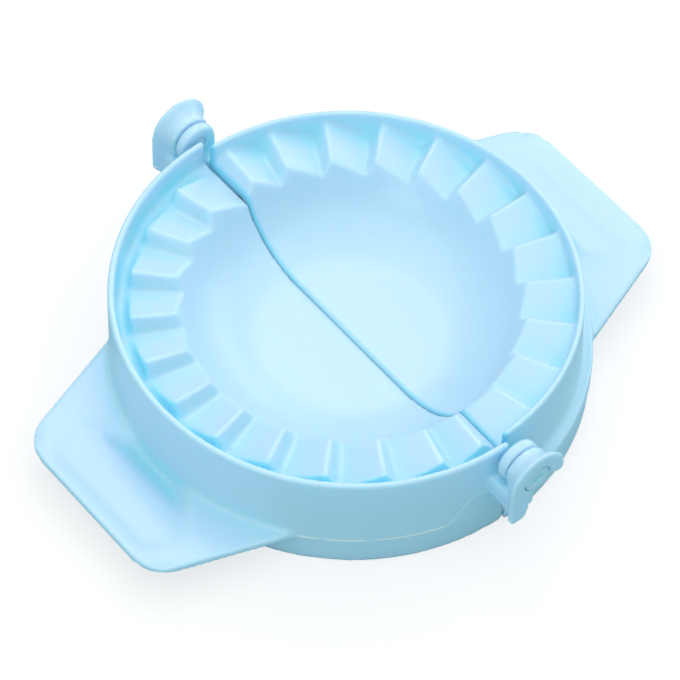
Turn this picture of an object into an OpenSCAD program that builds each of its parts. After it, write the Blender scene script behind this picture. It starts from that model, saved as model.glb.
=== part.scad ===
// Folding press for filled dough pockets: two thin moulded half rings, each with half a
// round bowl and a ring of slanted crimping teeth, hinged at the fold line.
// Origin: middle of the flat base. +Z up, fold axis along Y, outer half at -X.

/* [Rim and walls] */
// Outer diameter of the outer half's rim
rim_d = 90; // [80:1:120]
// Height of both rims above the table
press_h = 24; // [23:0.5:30]
// Thickness of the moulded walls
wall = 1.3; // [1:0.1:1.6]
// Thickness of the inner half's upright wall
nest_wall = 1.1; // [0.9:0.1:1.4]
// Radial gap between the outer half's rim and the inner half's wall when folded
nest_gap = 0.72; // [0.4:0.02:1.2]
// How much the walls lean outwards from rim to skirt
draft = 0.45; // [0.2:0.05:0.6]
// Gap between the halves along the fold line
split_gap = 0.4; // [0.4:0.1:1]
// Height of the moulding's parting line
parting_z = 6.6; // [5:0.1:8]

/* [Skirt of the inner half] */
// Height of the ledge outside the inner half's wall
ledge_z = 9.3; // [8:0.1:11]
// Width of that ledge
ledge_w = 2.2; // [1.6:0.1:3]
// Size of the hollow corner between the ledge and the wall
ledge_fillet = 1; // [0.6:0.1:1.4]

/* [Crimping teeth] */
// Number of teeth on each half
tooth_count = 12; // [8:1:16]
// Height from tooth root to tooth ridge
tooth_h = 3.3; // [2.4:0.1:3.6]
// Height of the middle of the teeth above the table
tooth_mid_z = 19.85; // [19:0.05:21]
// Angle taken by the steep flank of a tooth
flank_deg = 2.8; // [2:0.1:4]
// Angle taken by the last flank, beside the fold line
end_flank_deg = 4.4; // [3:0.1:5]
// Angle by which each half's teeth are turned, one way and the other
tooth_turn_deg = 0.8; // [0:0.1:1.2]
// Width of the groove between the outer half's rim and its teeth
groove_w = 2.5; // [2.4:0.1:3]

/* [Bowl] */
// Radius of the bowl's mouth at the tooth ridges
mouth_r = 32.7; // [31:0.1:34]
// Height of the bowl's floor above the table
floor_z = 8.5; // [7.5:0.1:9.5]
// Radius of the curve from floor to side
bowl_curve_r = 16; // [12:0.5:18]
// Slope of the bowl's side
side_deg = 62; // [56:1:68]

/* [Handles] */
// How far a handle reaches beyond the rim
handle_reach = 16.5; // [12:0.5:22]
// Height of a handle's upper face
handle_z = 7.8; // [7.5:0.1:9]
// Thickness of a handle
handle_t = 1.6; // [1.2:0.1:2]
// Width of a handle at the wall
root_w = 57; // [48:1:60]
// Width of a handle at its outer edge, over the corners
tip_w = 42.2; // [34:0.2:46]
// Radius of a handle's outer corners
corner_r = 7.5; // [5:0.5:9]
// Longest part of the finger rest
rest_l = 38; // [34:0.5:39]
// Length of the finger rest at the wall
rest_root_l = 20; // [14:0.5:26]
// Length of the finger rest at the lip
rest_tip_l = 31; // [26:0.5:33]
// Width of the finger rest's sloping ends
rest_slope_w = 3.4; // [2:0.1:4]
// Depth of the finger rest beside the wall
rest_depth = 2.8; // [1.5:0.1:3.2]
// Width of the deep valley beside the wall
valley_w = 5; // [4:0.5:6]
// Depth of the broad ridge between valley and lip
ridge_depth = 0.6; // [0:0.1:1]
// Depth of the shallow groove behind the handle's lip
lip_depth = 0.9; // [0.4:0.1:1.2]
// Width of that groove
lip_groove_w = 4.4; // [3:0.2:5]
// Width of the lip outside that groove
lip_w = 2.2; // [1.6:0.2:3]

/* [Hinges] */
// Diameter of the hinge pins
pin_d = 3.2; // [2.6:0.1:3.6]
// Radial clearance of a pin in the outer half's ear
pin_fit = 0.06; // [0.03:0.01:0.1]
// Diameter of a pin's head
pin_head_d = 5.4; // [4.6:0.1:6]
// Thickness of a pin's head
pin_head_t = 1; // [0.8:0.1:1.2]
// Clearance round a pin's head in its seat
head_gap = 0.3; // [0.3:0.05:0.6]
// Diameter of the dimple in a pin's head
pin_dimple_d = 2.6; // [1.6:0.1:3]
// Radius of the inner half's round knuckle
knuckle_r = 4.2; // [3.9:0.05:4.4]
// Thickness of the knuckle
knuckle_t = 2.2; // [1.8:0.1:2.6]
// Gap between the outer half's rim and the knuckle
knuckle_gap = 0.9; // [0.5:0.1:1.2]
// Gap between the knuckle and the ear
ear_gap = 0.3; // [0.2:0.05:0.4]
// Thickness of the ear under the pin's head
ear_t = 2.9; // [2.4:0.1:3.4]
// Radius of the ear where it faces the knuckle
ear_r = 4.3; // [4.2:0.05:4.6]
// How far the ear's hood flares out
hood_flare = 2; // [1.4:0.1:2.4]
// Depth of the hood beyond the seat of the pin's head
hood_depth = 1.5; // [1.3:0.1:2]
// Depth of the ear's post below the fold axis
post_drop = 9.6; // [8.8:0.1:10.4]
// Width of the ear's post
post_w = 4.4; // [4:0.1:5]
// Height of the bracket that carries the post on the wall
bracket_h = 4.7; // [4:0.1:5]

/* [Hidden] */
$fn = 180;
fold_seat_gap = 0.3;       // rim above the groove's floor when folded
skin = 0.4;                // how deep joined forms run into each other
past = 1;                  // how far a cut runs past the face that it opens
tuck_deg = 1;              // how far a tooth runs under its neighbours
soft = 0.5;                // size of the rounded edges of knuckles and ears
half_turn = 180;
rim_r = rim_d / 2;
pitch = half_turn / tooth_count;
root_z = tooth_mid_z - tooth_h / 2;
ridge_z = tooth_mid_z + tooth_h / 2;
groove_z = root_z - 0.1;
under_z = groove_z - wall;                 // underside of the groove's floor
hinge_z = (press_h + groove_z + fold_seat_gap) / 2;
groove_r = rim_r - wall;                   // inside of the outer half's rim
nest_r = groove_r - nest_gap;              // outside of the inner half's wall
outer_teeth_r = groove_r - groove_w;
inner_teeth_r = nest_r - nest_wall;
nest_foot_r = nest_r + draft;
skirt_r = nest_foot_r + ledge_w;           // outside of the inner half's skirt
tooth_mean_r = (mouth_r + inner_teeth_r) / 2;
curve_end_z = floor_z + bowl_curve_r * (1 - cos(side_deg));
curve_end_r = mouth_r - (ridge_z - curve_end_z) / tan(side_deg);
floor_r = curve_end_r - bowl_curve_r * sin(side_deg);
knuckle_y = rim_r + knuckle_gap;           // inner face of a knuckle
ear_y = knuckle_y + knuckle_t + ear_gap;   // inner face of an ear
hood_y = ear_y + ear_t + hood_depth;       // outer face of an ear
hood_r = ear_r + hood_flare;
post_x = -hood_r + post_w;                 // right side of the ear's post
handle_x = rim_r + handle_reach;

// ---- crimping teeth -------------------------------------------------------------

// All space under a plane that holds the direction az and rises to its left by tilt
module under_plane(az, tilt) {
    reach = 2 * rim_r;
    translate([0, 0, tooth_mid_z])
        rotate([0, 0, az])
            rotate([tilt, 0, 0])
                translate([0, -reach, -reach])
                    cube([reach, 2 * reach, reach]);
}

// Slope of a tooth face that spans the given angle
function face_tilt(span) = atan(tooth_h / (2 * tooth_mean_r * sin(span / 2)));

// A wedge of the ring from angle az over the given span
module ring_wedge(az, span, height) {
    reach = 2 * rim_r;
    translate([0, 0, root_z - wall])
        linear_extrude(height = height)
            polygon([[0, 0], reach * [cos(az), sin(az)], reach * [cos(az + span), sin(az + span)]]);
}

// One slanted tooth from az over the given span: a long rise, then a steep flank.
// It runs a little way under its neighbours.
module tooth(az, span, flank) {
    rise = span - flank;
    intersection() {
        ring_wedge(az - tuck_deg, span + 2 * tuck_deg, tooth_h + 2 * wall);
        under_plane(az + rise / 2, face_tilt(rise));
        under_plane(az + rise + flank / 2, -face_tilt(flank));
    }
}

// Half a ring of teeth on the +X side, out to radius r and turned by the given angle.
// The halves are turned opposite ways, so that each ridge folds over into a root.
module teeth(r, turn) {
    lead = flank_deg / 2 + turn;
    intersection() {
        cylinder(h = press_h, r = r);
        union() {
            ring_wedge(-90 - tuck_deg, lead + 2 * tuck_deg, wall);
            for (k = [0 : tooth_count - 2]) tooth(lead - 90 + k * pitch, pitch, flank_deg);
            tooth(lead + 90 - pitch, pitch - lead, end_flank_deg);
        }
    }
}

// ---- sections, drawn as radius and height ---------------------------------------

// The bowl's hollow grown by the given amount, from the floor up
module bowl_section(grow) {
    lift = grow * (1 - cos(side_deg));
    top = press_h + past;
    wall_r = curve_end_r + grow * sin(side_deg);
    polygon([[0, floor_z - grow], [floor_r, floor_z - grow],
             [wall_r, curve_end_z - grow + lift],
             [wall_r + (top - curve_end_z + grow - lift) / tan(side_deg), top],
             [0, top]]);
    intersection() {
        translate([floor_r, floor_z + bowl_curve_r]) circle(r = bowl_curve_r + grow);
        translate([floor_r, floor_z - grow]) square(bowl_curve_r + grow);
    }
}

// An upright wall with a rounded top and a leaning outer face
module wall_section(foot_r, top_r, thick, foot_z) {
    round_z = press_h - thick / 2;
    polygon([[top_r - thick, foot_z], [foot_r, foot_z], [top_r, round_z], [top_r - thick, round_z]]);
    translate([top_r - thick / 2, round_z]) circle(d = thick);
}

// Outer half: one wall from the table to the rim, a groove, and the ring under the teeth
module outer_section() {
    square([rim_r - draft, groove_z]);
    wall_section(rim_r, rim_r, wall, parting_z - 2 * skin);
    polygon([[0, 0], [rim_r - draft / 2, 0], [rim_r, parting_z], [0, parting_z]]);
    parting_line(rim_r);
}

module outer_hollow() {
    polygon([[0, -past], [groove_r - draft / 2, -past], [groove_r, under_z], [0, under_z]]);
}

// Inner half: a wide skirt up to the ledge, and the narrower wall that nests
module inner_section() {
    square([inner_teeth_r + skin, root_z - skin]);
    wall_section(nest_foot_r, nest_r, nest_wall, ledge_z - skin);
    polygon([[0, 0], [skirt_r - draft / 2, 0], [skirt_r, parting_z], [skirt_r, ledge_z],
             [nest_foot_r + ledge_fillet, ledge_z],
             [nest_foot_r + ledge_fillet * 0.4, ledge_z + ledge_fillet * 0.2],
             [nest_foot_r + ledge_fillet * 0.1, ledge_z + ledge_fillet * 0.6],
             [nest_foot_r - draft * 0.3, ledge_z + ledge_fillet * 1.2],
             [0, ledge_z + ledge_fillet * 1.2]]);
    parting_line(skirt_r);
}

module inner_hollow() {
    polygon([[0, -past], [skirt_r - draft / 2 - wall, -past], [skirt_r - wall, ledge_z - wall],
             [inner_teeth_r, ledge_z - wall], [inner_teeth_r - draft / 2, under_z], [0, under_z]]);
}

// The thin raised line where the mould parted, round a wall of radius r
module parting_line(r) {
    bead = 0.16;
    polygon([[r - skin, parting_z - bead], [r - bead, parting_z - bead], [r + bead, parting_z],
             [r - bead, parting_z + bead], [r - skin, parting_z + bead]]);
}

// ---- halves ---------------------------------------------------------------------

// Everything at +X of the fold line's gap
module beyond_split() {
    reach = 4 * rim_r;
    translate([split_gap / 2, -reach / 2, -past]) cube([reach, reach, press_h + 2 * past]);
}

// A moulded half ring from its section and its hollow: it holds the bowl and the teeth, and
// its underside follows both at the depth of one wall
module half_ring(teeth_r, under_r, turn) {
    difference() {
        union() {
            rotate([0, 0, -91]) rotate_extrude(angle = half_turn + 2) children(0);
            teeth(teeth_r, turn);
        }
        rotate_extrude() bowl_section(0);
        difference() {
            union() {
                rotate_extrude() children(1);
                translate([0, 0, -wall]) teeth(under_r, turn);
            }
            rotate_extrude() bowl_section(wall);
        }
    }
}

// ---- handles --------------------------------------------------------------------

// A smooth step from 0 at a to 1 at b
function blend(t, a, b) = let (u = min(1, max(0, (t - a) / (b - a)))) u * u * (3 - 2 * u);

// How far p lies to the left of the line from a to b
function left_of(p, a, b) = let (d = (b - a) / norm(b - a)) d[0] * (p[1] - a[1]) - d[1] * (p[0] - a[0]);

// Upper face of a handle at p: a flat plate with an oval finger rest and a lip
function rest_root() = [rim_r, rest_root_l / 2];
function rest_side() = [rim_r + 6.4, rest_l / 2];
function rest_tip() = [handle_x - lip_w, rest_tip_l / 2];
function rest_fade(q) = blend(-left_of(q, rest_root(), rest_side()), 0, rest_slope_w)
    * blend(-left_of(q, rest_side(), rest_tip()), 0, rest_slope_w);
function valley_at(x) = rest_depth * (1 - blend(x, rim_r + 0.4, rim_r + valley_w));
function ridge_at(x) = ridge_depth * (1 - blend(x, rim_r + valley_w, handle_x - lip_w))
    * blend(x, rim_r, rim_r + valley_w);
function lip_at(x) = let (c = handle_x - lip_w - lip_groove_w / 2)
    lip_depth * (1 - blend(abs(x - c), 0.2, lip_groove_w / 2));
function handle_top(p) = handle_z - rest_fade([p[0], abs(p[1])])
    * (valley_at(p[0]) + ridge_at(p[0]) + lip_at(p[0]));

// Plan of a handle: points run outwards along u from the wall, and across it along v
function root_point(v, r) = let (t = v * asin(root_w / 2 / r)) r * [cos(t), sin(t)];
function side_dir() = let (d = [handle_x - corner_r, tip_w / 2] - root_point(1, rim_r)) d / norm(d);
function corner_turn() = 90 + atan2(side_dir()[1], side_dir()[0]);
function corner_mid() = [handle_x - corner_r, tip_w / 2 - corner_r];
function tip_point(v) = let (straight = 0.7, s = v < 0 ? -1 : 1, a = abs(v))
    a <= straight ? [handle_x, corner_mid()[1] * v / straight]
    : let (t = corner_turn() * (a - straight) / (1 - straight))
      [corner_mid()[0] + corner_r * cos(t), s * (corner_mid()[1] + corner_r * sin(t))];
function plan_point(u, v, r) = root_point(v, r) * (1 - u) + tip_point(v) * u;

// A thin plate whose two faces follow handle_top; it starts inside a wall of radius wall_r
module handle(wall_r) {
    along = 22;
    across = 40;
    row = across + 1;
    face = (along + 1) * row;
    plan = [for (i = [0 : along]) for (j = [0 : across]) plan_point(i / along, 2 * j / across - 1, wall_r - wall / 2)];
    top = [for (p = plan) [p[0], p[1], handle_top(p)]];
    low = [for (p = top) p - [0, 0, handle_t]];
    rim = concat([for (j = [0 : across]) j],
                 [for (i = [1 : along]) i * row + across],
                 [for (j = [1 : across]) along * row + across - j],
                 [for (i = [1 : along - 1]) (along - i) * row]);
    last = len(rim);
    quads = [for (i = [0 : along - 1]) for (j = [0 : across - 1]) i * row + j];
    polyhedron(points = concat(top, low), faces = concat(
        [for (q = quads) each [[q, q + 1, q + row + 1], [q, q + row + 1, q + row]]],
        [for (q = quads) each [[face + q, face + q + row + 1, face + q + 1],
                               [face + q, face + q + row, face + q + row + 1]]],
        [for (k = [0 : last - 1]) let (a = rim[k], b = rim[(k + 1) % last])
            each [[a, face + b, b], [a, face + a, face + b]]]));
}

// ---- hinges, drawn at the front and mirrored to the rear -------------------------

module both_ends() {
    children();
    mirror([0, 1, 0]) children();
}

// A cylinder about the fold axis between two distances from the middle
module about_axis(r, near, far) {
    translate([0, -near, hinge_z]) rotate([90, 0, 0]) cylinder(h = far - near, r = r);
}

// Outline of an ear's flare as radius and distance from the middle: a hollow neck that
// starts inside the ear, then a rounded outer edge
function flare() = let (from = [ear_r - 0.3, ear_y + skin], to = [hood_r, hood_y - soft], steps = 6)
    concat([for (k = [0 : steps]) let (t = k / steps)
                [from[0] + (to[0] - from[0]) * pow(t, 1.7), from[1] + (to[1] - from[1]) * t]],
           [[hood_r - soft * 0.3, hood_y - soft * 0.3], [hood_r - soft, hood_y]]);

// Hood: a thick collar that opens outwards over the top of an ear
module hood() {
    inner_r = pin_d / 2 + 2 * skin;
    translate([0, 0, hinge_z])
        rotate([90, 0, 0])
            rotate([0, 0, -14])
                rotate_extrude(angle = half_turn + 20)
                    polygon(concat([[inner_r, hood_y], [inner_r, ear_y + skin]], flare()));
}

// Post of an ear: it carries the hood on from the fold axis down to its rounded foot
module post() {
    foot = post_w / 2;
    intersection() {
        translate([0, 0, hinge_z - post_drop])
            linear_extrude(height = post_drop)
                polygon(concat([[post_x, -hood_y], [post_x, -ear_y - skin]], -flare()));
        rotate([90, 0, 0]) linear_extrude(height = hood_y + past) union() {
            translate([-hood_r, hinge_z - post_drop + foot]) square([post_w, post_drop]);
            translate([post_x - foot, hinge_z - post_drop + foot]) circle(r = foot);
        }
    }
}

// Ear of the outer half: a thick plate with the pin's bore and the seat of its head, the
// hood, the post and the bracket
module ear() {
    seat_y = ear_y + ear_t;
    difference() {
        union() {
            about_axis(ear_r, ear_y, seat_y + 0.4 * hood_depth);
            hood();
            post();
            translate([-ear_r - skin, -seat_y, hinge_z - post_drop + 1])
                cube([ear_r + skin + post_x - 0.1, seat_y - rim_r + wall / 2, bracket_h]);
        }
        about_axis(pin_d / 2 + pin_fit, rim_r, seat_y + past);
        about_axis(pin_head_d / 2 + head_gap, seat_y, hood_y + past);
    }
}

// Knuckle of the inner half: a round plate on a leg that stands on the ledge
module knuckle() {
    leg_x = split_gap / 2 + 0.3;
    leg_w = knuckle_r - leg_x;
    foot_z = ledge_z - 4;
    far = knuckle_y + knuckle_t;
    difference() {
        union() {
            translate([0, 0, hinge_z]) rotate([90, 0, 0]) rotate_extrude()
                polygon([[0, knuckle_y], [knuckle_r - soft, knuckle_y],
                         [knuckle_r - soft * 0.3, knuckle_y + soft * 0.3], [knuckle_r, knuckle_y + soft],
                         [knuckle_r, far - soft], [knuckle_r - soft * 0.3, far - soft * 0.3],
                         [knuckle_r - soft, far], [0, far]]);
            translate([leg_x, -far, foot_z]) cube([leg_w, knuckle_t, hinge_z - foot_z]);
            translate([leg_x, -knuckle_y - skin, foot_z])
                cube([leg_w, knuckle_y + skin - nest_foot_r, ledge_z - skin - foot_z]);
            translate([leg_x, -knuckle_y - skin, ledge_z - 2 * skin])
                cube([leg_w / 2, knuckle_y + skin - nest_r + nest_wall / 2,
                      groove_z - fold_seat_gap - ledge_z]);
        }
        about_axis(pin_d / 2, rim_r, hood_y);
    }
}

// Hinge pin: pressed into the knuckle, turning in the ear, held by its head
module hinge_pin() {
    head_y = ear_y + ear_t + 0.15;
    dimple = pin_head_t / 2;
    difference() {
        union() {
            about_axis(pin_d / 2, knuckle_y + 0.2, head_y + skin);
            about_axis(pin_head_d / 2, head_y, head_y + pin_head_t);
        }
        about_axis(pin_dimple_d / 2, head_y + pin_head_t - dimple, head_y + pin_head_t + past);
    }
}

module outer_half() {
    color("lightskyblue") {
        rotate([0, 0, half_turn]) intersection() {
            union() {
                half_ring(outer_teeth_r, outer_teeth_r - wall, tooth_turn_deg) {
                    outer_section();
                    outer_hollow();
                }
                handle(rim_r);
            }
            beyond_split();
        }
        both_ends() ear();
    }
}

module inner_half() {
    color("skyblue") {
        intersection() {
            union() {
                half_ring(inner_teeth_r + skin, inner_teeth_r - wall, -tooth_turn_deg) {
                    inner_section();
                    inner_hollow();
                }
                handle(skirt_r);
            }
            beyond_split();
        }
        both_ends() knuckle();
    }
}

module front_hinge_pin() {
    color("powderblue") hinge_pin();
}

module rear_hinge_pin() {
    color("powderblue") mirror([0, 1, 0]) hinge_pin();
}

outer_half();
inner_half();
front_hinge_pin();
rear_hinge_pin();
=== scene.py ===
"""Looks of the folding dough press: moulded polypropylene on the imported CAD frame."""

import math

import bpy
from mathutils import Matrix, Vector


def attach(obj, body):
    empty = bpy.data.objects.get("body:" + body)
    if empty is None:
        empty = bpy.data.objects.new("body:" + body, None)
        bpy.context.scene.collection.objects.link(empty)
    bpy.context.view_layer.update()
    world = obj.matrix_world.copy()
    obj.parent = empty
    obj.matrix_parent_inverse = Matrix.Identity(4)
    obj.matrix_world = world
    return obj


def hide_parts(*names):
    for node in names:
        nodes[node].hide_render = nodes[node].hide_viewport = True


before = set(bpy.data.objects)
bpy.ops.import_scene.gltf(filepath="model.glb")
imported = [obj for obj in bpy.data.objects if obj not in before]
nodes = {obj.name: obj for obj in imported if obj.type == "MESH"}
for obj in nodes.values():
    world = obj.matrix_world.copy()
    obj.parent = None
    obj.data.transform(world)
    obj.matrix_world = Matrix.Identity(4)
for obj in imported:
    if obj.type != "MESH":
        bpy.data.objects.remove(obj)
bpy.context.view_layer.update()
bpy.ops.object.select_all(action="DESELECT")

MM = 0.001
HALF_SPLIT = 0.2 * MM  # how far each split face stands off the middle in the solids
BELOW_HINGE = 20.5 * MM  # just under the hinge axis, which is 21.2 mm up
WALL_REACH = 44.5 * MM  # the skin of the outer wall, from the middle of the bowl


# ---- materials -------------------------------------------------------------------


def linear(hex_colour):
    """An sRGB hex colour as Blender's linear RGBA."""
    parts = [int(hex_colour[i:i + 2], 16) / 255 for i in (1, 3, 5)]
    parts = [c / 12.92 if c <= 0.04045 else ((c + 0.055) / 1.055) ** 2.4 for c in parts]
    return (*parts, 1.0)


def add_node(tree, kind, links=(), **settings):
    """Adds one shader node, sets its properties and inputs, and links (input, output) pairs."""
    node = tree.nodes.new(kind)
    for name, value in settings.items():
        if hasattr(node, name):
            setattr(node, name, value)
        else:
            node.inputs[name.replace("_", " ")].default_value = value
    for socket, source in links:
        tree.links.new(source, node.inputs[socket])
    return node


def new_material(name):
    """An empty material and its node tree."""
    material = bpy.data.materials.new(name)
    material.use_nodes = True
    material.node_tree.nodes.clear()
    return material, material.node_tree


def paint_split_shade(tree, axes, colour):
    """Painted shade on the inner half: its colour deepens to teal over the last 1.2 mm before
    the split face, standing in for the shade in the seam and the light leaking out of the milky
    plastic there; less so in the middle, where the bowl is thin. The hinge knuckles, outside the
    wall, are left out."""
    near = add_node(tree, "ShaderNodeMapRange", [("Value", axes.outputs["X"])],
                    From_Min=-0.1 * MM, From_Max=1.25 * MM)
    ramp = add_node(tree, "ShaderNodeValToRGB", [("Fac", near.outputs["Result"])])
    stops = ramp.color_ramp.elements
    stops[0].position, stops[0].color = 0.06, (1, 1, 1, 1)
    stops[1].position, stops[1].color = 1.0, (1, 1, 1, 1)
    for position, shade in ((0.08, (0.27, 0.55, 0.57, 1)), (0.26, (0.34, 0.75, 0.78, 1)),
                            (0.52, (0.52, 0.88, 0.94, 1)), (0.78, (0.76, 0.96, 0.99, 1))):
        stops.new(position).color = shade
    width = add_node(tree, "ShaderNodeMath", [(0, axes.outputs["Y"])], operation="ABSOLUTE")
    inside = add_node(tree, "ShaderNodeMapRange", [("Value", width.outputs[0])],
                      From_Min=WALL_REACH + 0.5 * MM, From_Max=WALL_REACH)
    thick = add_node(tree, "ShaderNodeMapRange", [("Value", width.outputs[0])],
                     From_Min=6.0 * MM, From_Max=26.0 * MM, To_Min=0.6)
    split_shade_share = add_node(tree, "ShaderNodeMath", [(0, inside.outputs["Result"]),
                                              (1, thick.outputs["Result"])],
                     operation="MULTIPLY")
    split_shaded = add_node(tree, "ShaderNodeMix", [("Factor", split_shade_share.outputs[0])],
                        data_type="RGBA", blend_type="MULTIPLY")
    tree.links.new(colour, split_shaded.inputs[6])
    tree.links.new(ramp.outputs["Color"], split_shaded.inputs[7])
    return split_shaded.outputs[2]


def paint_parting_highlight(tree, place, axes, colour):
    """Painted highlight 0.4 mm wide along the mould's parting line on the outer wall, standing
    in
    for the light caught by its thin bead: level from the handle, then climbing to the hinge's
    bracket, and broken in places."""
    level, bracket = 7.1 * MM, 13.4 * MM
    climb = add_node(tree, "ShaderNodeMapRange", [("Value", axes.outputs["X"])],
                     interpolation_type="SMOOTHSTEP", From_Min=-13.2 * MM,
                     From_Max=-7.0 * MM, To_Min=level, To_Max=bracket)
    above = add_node(tree, "ShaderNodeMath", [(0, axes.outputs["Z"]),
                                              (1, climb.outputs["Result"])],
                     operation="SUBTRACT")
    off_line = add_node(tree, "ShaderNodeMath", [(0, above.outputs[0])], operation="ABSOLUTE")
    on_line = add_node(tree, "ShaderNodeMapRange", [("Value", off_line.outputs[0])],
                       From_Min=0.3 * MM, From_Max=0.12 * MM)
    # Only on the wall's skin, clear of the handle and short of the bracket
    flat = add_node(tree, "ShaderNodeVectorMath", [(0, place.outputs["Object"])],
                    operation="MULTIPLY")
    flat.inputs[1].default_value = (1, 1, 0)
    reach = add_node(tree, "ShaderNodeVectorMath", [(0, flat.outputs[0])], operation="LENGTH")
    skin = add_node(tree, "ShaderNodeMapRange", [("Value", reach.outputs["Value"])],
                    From_Min=WALL_REACH - 0.1 * MM, From_Max=WALL_REACH + 0.1 * MM)
    clear = add_node(tree, "ShaderNodeMapRange", [("Value", axes.outputs["X"])],
                     From_Min=-37.0 * MM, From_Max=-36.5 * MM)
    short = add_node(tree, "ShaderNodeMapRange", [("Value", axes.outputs["X"])],
                     From_Min=-5.0 * MM, From_Max=-6.0 * MM)
    # Breaks of about 3 mm, where the two sides of the mould shut tight
    tears = add_node(tree, "ShaderNodeTexNoise", [("Vector", place.outputs["Object"])],
                     Scale=1 / (3 * MM), Detail=1.0)
    broken = add_node(tree, "ShaderNodeMapRange", [("Value", tears.outputs["Fac"])],
                      From_Min=0.4, From_Max=0.5, To_Min=0.2)
    share = on_line.outputs["Result"]
    for mask in (skin, clear, short, broken):
        both = add_node(tree, "ShaderNodeMath", [(0, share), (1, mask.outputs["Result"])],
                        operation="MULTIPLY")
        share = both.outputs[0]
    parting_highlighted = add_node(tree, "ShaderNodeMix", [("Factor", share)], data_type="RGBA")
    tree.links.new(colour, parting_highlighted.inputs[6])
    parting_highlighted.inputs[7].default_value = linear("#E9F6FF")
    return parting_highlighted.outputs[2]


def moulded_polypropylene(name, light, deep, roughness, is_half):
    """Injection-moulded polypropylene homopolymer: slightly milky, so light wanders a little
    way under its skin, with the soft gloss and the faint orange-peel of a polished mould."""
    material, tree = new_material(name)
    place = add_node(tree, "ShaderNodeTexCoord")
    # Pigment swirls of the melt flow, about 25 mm across and hardly seen
    flow = add_node(tree, "ShaderNodeTexNoise", [("Vector", place.outputs["Object"])],
                    Scale=1 / (25 * MM), Detail=1.0, Roughness=0.5)
    tint = add_node(tree, "ShaderNodeMix", [("Factor", flow.outputs["Fac"])], data_type="RGBA")
    tint.inputs[6].default_value = linear(light)
    tint.inputs[7].default_value = linear(deep)
    # Painted shade in corners: by ambient occlusion over about 5 mm, grooves and the feet of the
    # teeth are painted a clearer cyan, standing in for light that goes from wall to wall through
    # the milky plastic and loses its red
    corner = add_node(tree, "ShaderNodeAmbientOcclusion", samples=8, only_local=True,
                      Distance=5.0 * MM)
    open_sky = add_node(tree, "ShaderNodeMapRange", [("Value", corner.outputs["AO"])],
                        From_Min=0.35, From_Max=0.95)
    corner_shaded = add_node(tree, "ShaderNodeMix", [("Factor", open_sky.outputs["Result"])],
                       data_type="RGBA")
    corner_shaded.inputs[6].default_value = linear("#A6EAFA")
    tree.links.new(tint.outputs[2], corner_shaded.inputs[7])
    colour = corner_shaded.outputs[2]
    if is_half:
        axes = add_node(tree, "ShaderNodeSeparateXYZ", [("Vector", place.outputs["Object"])])
        # Painted shade of the seam beside the split face
        colour = paint_split_shade(tree, axes, colour)
        # Painted highlight along the mould's parting line
        colour = paint_parting_highlight(tree, place, axes, colour)
    # Orange-peel of the polished mould, 1.6 mm from crest to crest and under a micron high
    peel = add_node(tree, "ShaderNodeTexNoise", [("Vector", place.outputs["Object"])],
                    Scale=1 / (1.6 * MM), Detail=1.0, Roughness=0.4)
    bump = add_node(tree, "ShaderNodeBump", [("Height", peel.outputs["Fac"])],
                    Strength=0.08, Distance=0.02 * MM)
    shader = add_node(tree, "ShaderNodeBsdfPrincipled",
                      [("Base Color", colour), ("Normal", bump.outputs["Normal"])],
                      Roughness=roughness, IOR=1.49, Specular_IOR_Level=0.6,
                      Subsurface_Weight=0.35, Subsurface_Scale=2.0 * MM,
                      Subsurface_Radius=(0.35, 0.8, 1.0))
    add_node(tree, "ShaderNodeOutputMaterial", [("Surface", shader.outputs["BSDF"])])
    return material


press_plastic = moulded_polypropylene("Moulded_polypropylene_sky_blue", "#C0E3FB", "#BBE0FA",
                                      roughness=0.31, is_half=True)
pin_plastic = moulded_polypropylene("Moulded_polypropylene_pin", "#BEE2FA", "#B8DFF9",
                                    roughness=0.30, is_half=False)


# ---- moulded halves and pins -----------------------------------------------------


def select_where(piece, wanted):
    """Leaves the piece in edit mode with only its wanted vertices selected."""
    bpy.ops.object.mode_set(mode="EDIT")
    bpy.ops.mesh.select_all(action="DESELECT")
    bpy.ops.object.mode_set(mode="OBJECT")
    for vertex in piece.data.vertices:
        vertex.select = wanted(vertex)
    bpy.ops.object.mode_set(mode="EDIT")


def close_split(piece, side):
    """Brings the face on the split plane, under the hinge axis, to the middle, where the
    halves meet."""
    def on_split_face(vertex):
        off_face = abs(vertex.co.x - side * HALF_SPLIT)
        return off_face < 0.02 * MM and vertex.co.z < BELOW_HINGE

    select_where(piece, on_split_face)
    bpy.ops.transform.translate(value=(-side * HALF_SPLIT, 0, 0))
    bpy.ops.object.mode_set(mode="OBJECT")


def soften_rest(piece, side):
    """Softens the lip of the handle's finger rest, which is a long shallow hollow with no edge
    that the eye can find."""
    def on_top_of_handle(vertex):
        out, across, up = side * vertex.co.x, abs(vertex.co.y), vertex.co.z
        return (51 * MM < out < 60.4 * MM and across < 20 * MM
                and up > 5 * MM and vertex.normal.z > 0.3)

    select_where(piece, on_top_of_handle)
    bpy.ops.mesh.vertices_smooth(factor=0.5, repeat=60)
    bpy.ops.object.mode_set(mode="OBJECT")


def even_foot(piece):
    """Evens out the foot, where the fine mesh leaves a stepped edge on the table."""
    select_where(piece, lambda vertex: vertex.co.z < 1.1 * MM)
    bpy.ops.mesh.vertices_smooth(factor=0.5, repeat=10, zaxis=False)
    bpy.ops.object.mode_set(mode="OBJECT")


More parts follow.
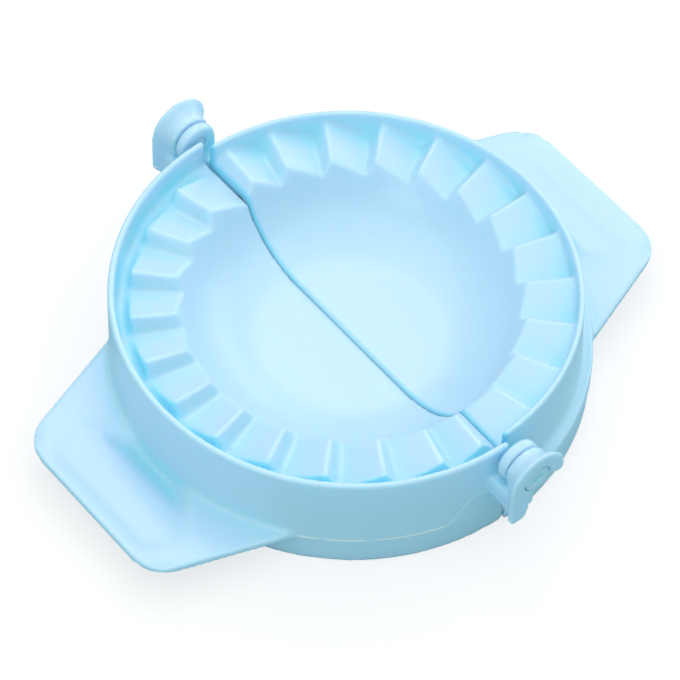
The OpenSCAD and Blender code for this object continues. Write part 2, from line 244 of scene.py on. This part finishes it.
def moulded(name, material, body, side, grain, passes):
    """Replaces a CAD node by a copy as it leaves the mould: one closed skin with every edge a
    small round, from a regular mesh as fine as the grain that is then relaxed in passes. A
    half lies on a side, -1 or 1; a pin on none, 0."""
    piece = nodes[name].copy()
    piece.data = nodes[name].data.copy()
    piece.name = piece.data.name = name + "_moulded"
    bpy.context.scene.collection.objects.link(piece)
    piece.parent = None
    piece.matrix_world = Matrix.Identity(4)
    bpy.context.view_layer.objects.active = piece
    piece.select_set(True)
    bpy.ops.object.mode_set(mode="EDIT")
    bpy.ops.mesh.select_all(action="SELECT")
    bpy.ops.mesh.remove_doubles(threshold=0.004 * MM)
    bpy.ops.object.mode_set(mode="OBJECT")
    if side:
        close_split(piece, side)
    skin = piece.modifiers.new("skin", "REMESH")
    skin.mode = "VOXEL"
    skin.voxel_size = grain
    bpy.ops.object.modifier_apply(modifier=skin.name)
    relax = piece.modifiers.new("relax", "SMOOTH")
    relax.factor = 0.5
    relax.iterations = passes
    bpy.ops.object.modifier_apply(modifier=relax.name)
    if side:
        soften_rest(piece, side)
        even_foot(piece)
    bpy.ops.object.shade_smooth()
    piece.data.materials.clear()
    piece.data.materials.append(material)
    piece.select_set(False)
    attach(piece, body)
    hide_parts(name)


moulded("outer_half", press_plastic, "outer", -1, 0.48 * MM, 4)
moulded("inner_half", press_plastic, "inner", 1, 0.48 * MM, 4)
moulded("front_hinge_pin", pin_plastic, "inner", 0, 0.12 * MM, 3)
moulded("rear_hinge_pin", pin_plastic, "inner", 0, 0.12 * MM, 3)


# ---- stage -----------------------------------------------------------------------


def studio_paper(name, seen, bounced, lift):
    """Pale studio paper with a grain of 40 mm. The camera sees it lit through from behind by
    the lift, which keeps a faint shadow on white; everything else gets its cooler bounce."""
    material, tree = new_material(name)
    paths = add_node(tree, "ShaderNodeLightPath")
    place = add_node(tree, "ShaderNodeTexCoord")
    grain = add_node(tree, "ShaderNodeTexNoise", [("Vector", place.outputs["Object"])],
                     Scale=1 / (40 * MM), Detail=2.0)
    paper = add_node(tree, "ShaderNodeMix", [("Factor", grain.outputs["Fac"])], data_type="RGBA")
    paper.inputs[6].default_value = linear(seen)
    paper.inputs[7].default_value = linear("#FFFFFF")
    tint = add_node(tree, "ShaderNodeMix", [("Factor", paths.outputs["Is Camera Ray"])],
                    data_type="RGBA")
    tint.inputs[6].default_value = linear(bounced)
    tree.links.new(paper.outputs[2], tint.inputs[7])
    shader = add_node(tree, "ShaderNodeBsdfDiffuse", [("Color", tint.outputs[2])])
    glow = add_node(tree, "ShaderNodeEmission", Strength=1.0)
    share = add_node(tree, "ShaderNodeMath", [(0, paths.outputs["Is Camera Ray"])],
                     operation="MULTIPLY")
    share.inputs[1].default_value = lift
    mixed = add_node(tree, "ShaderNodeMixShader", [("Fac", share.outputs[0]),
                                                   (1, shader.outputs[0]), (2, glow.outputs[0])])
    add_node(tree, "ShaderNodeOutputMaterial", [("Surface", mixed.outputs[0])])
    return material


bpy.ops.mesh.primitive_plane_add(size=6.0, location=(0, 0, 0))
floor = bpy.context.object
floor.name = "studio_floor"
floor.data.materials.append(studio_paper("Studio_paper_white", "#FDFDFD", "#9BC3C8", 0.7))

# The room is a dim, slightly green white to the press and plain white to the camera
world = bpy.data.worlds.new("studio")
bpy.context.scene.world = world
world.use_nodes = True
sky = world.node_tree
sky.nodes.clear()
paths = add_node(sky, "ShaderNodeLightPath")
around = add_node(sky, "ShaderNodeBackground", Color=linear("#E4FCF4"), Strength=0.47)
seen = add_node(sky, "ShaderNodeBackground", Color=linear("#FFFFFF"), Strength=1.0)
mixed = add_node(sky, "ShaderNodeMixShader", [("Fac", paths.outputs["Is Camera Ray"]),
                                              (1, around.outputs[0]), (2, seen.outputs[0])])
add_node(sky, "ShaderNodeOutputWorld", [("Surface", mixed.outputs[0])])

LAMP_AIM = Vector((0, 0, 0.01))
LAMP_WHITE = (1.0, 0.955, 1.0)


def softbox(name, place, size, watts, colour=LAMP_WHITE):
    """A rectangular lamp that looks at the press."""
    data = bpy.data.lights.new(name, "AREA")
    data.shape = "RECTANGLE"
    data.size, data.size_y = size
    data.energy = watts
    data.color = colour
    lamp = bpy.data.objects.new(name, data)
    bpy.context.scene.collection.objects.link(lamp)
    lamp.location = place
    lamp.rotation_euler = (LAMP_AIM - Vector(place)).to_track_quat("-Z", "Y").to_euler()


softbox("overhead_softbox", (-0.1, -0.05, 0.9), (1.6, 1.6), 8.2)
softbox("side_softbox", (0.8, 0.1, 0.3), (0.95, 0.55), 2.6)
# The glow on the bowl's floor and the edges comes from behind, the one on the bowl's far wall
# and the front rim from low on the left
softbox("key_softbox", (0.33, 0.40, 0.74), (0.35, 0.35), 1.1, colour=(1.0, 0.74, 1.0))
softbox("low_softbox", (-0.8, -0.27, 0.25), (0.3, 0.3), 0.9)


# ---- camera ----------------------------------------------------------------------

# The photograph's camera, from a fit of the rims, the base and the handles
AZIMUTH, ELEVATION, ROLL = math.radians(-41.316), math.radians(53.217), math.radians(-2.608)
DISTANCE = 0.6997
FOCAL_PIXELS, FRAME_PIXELS = 3700, 680
SHIFT_PIXELS = (8.475, 24.298)

back = Vector((math.sin(AZIMUTH) * math.cos(ELEVATION), -math.cos(AZIMUTH) * math.cos(ELEVATION),
               math.sin(ELEVATION)))
right = (-back).cross(Vector((0, 0, 1))).normalized()
up = right.cross(-back)
rolled_right = right * math.cos(ROLL) - up * math.sin(ROLL)
rolled_up = right * math.sin(ROLL) + up * math.cos(ROLL)
lens = bpy.data.cameras.new("photo_camera")
lens.sensor_width = 36.0
lens.lens = FOCAL_PIXELS / FRAME_PIXELS * lens.sensor_width
lens.shift_x = -SHIFT_PIXELS[0] / FRAME_PIXELS
lens.shift_y = SHIFT_PIXELS[1] / FRAME_PIXELS
lens.clip_start, lens.clip_end = 0.01, 20
camera = bpy.data.objects.new("photo_camera", lens)
bpy.context.scene.collection.objects.link(camera)
turn = Matrix((rolled_right, rolled_up, back)).transposed().to_4x4()
camera.matrix_world = Matrix.Translation(back * DISTANCE) @ turn
bpy.context.scene.camera = camera

bpy.context.scene.view_settings.view_transform = "Standard"
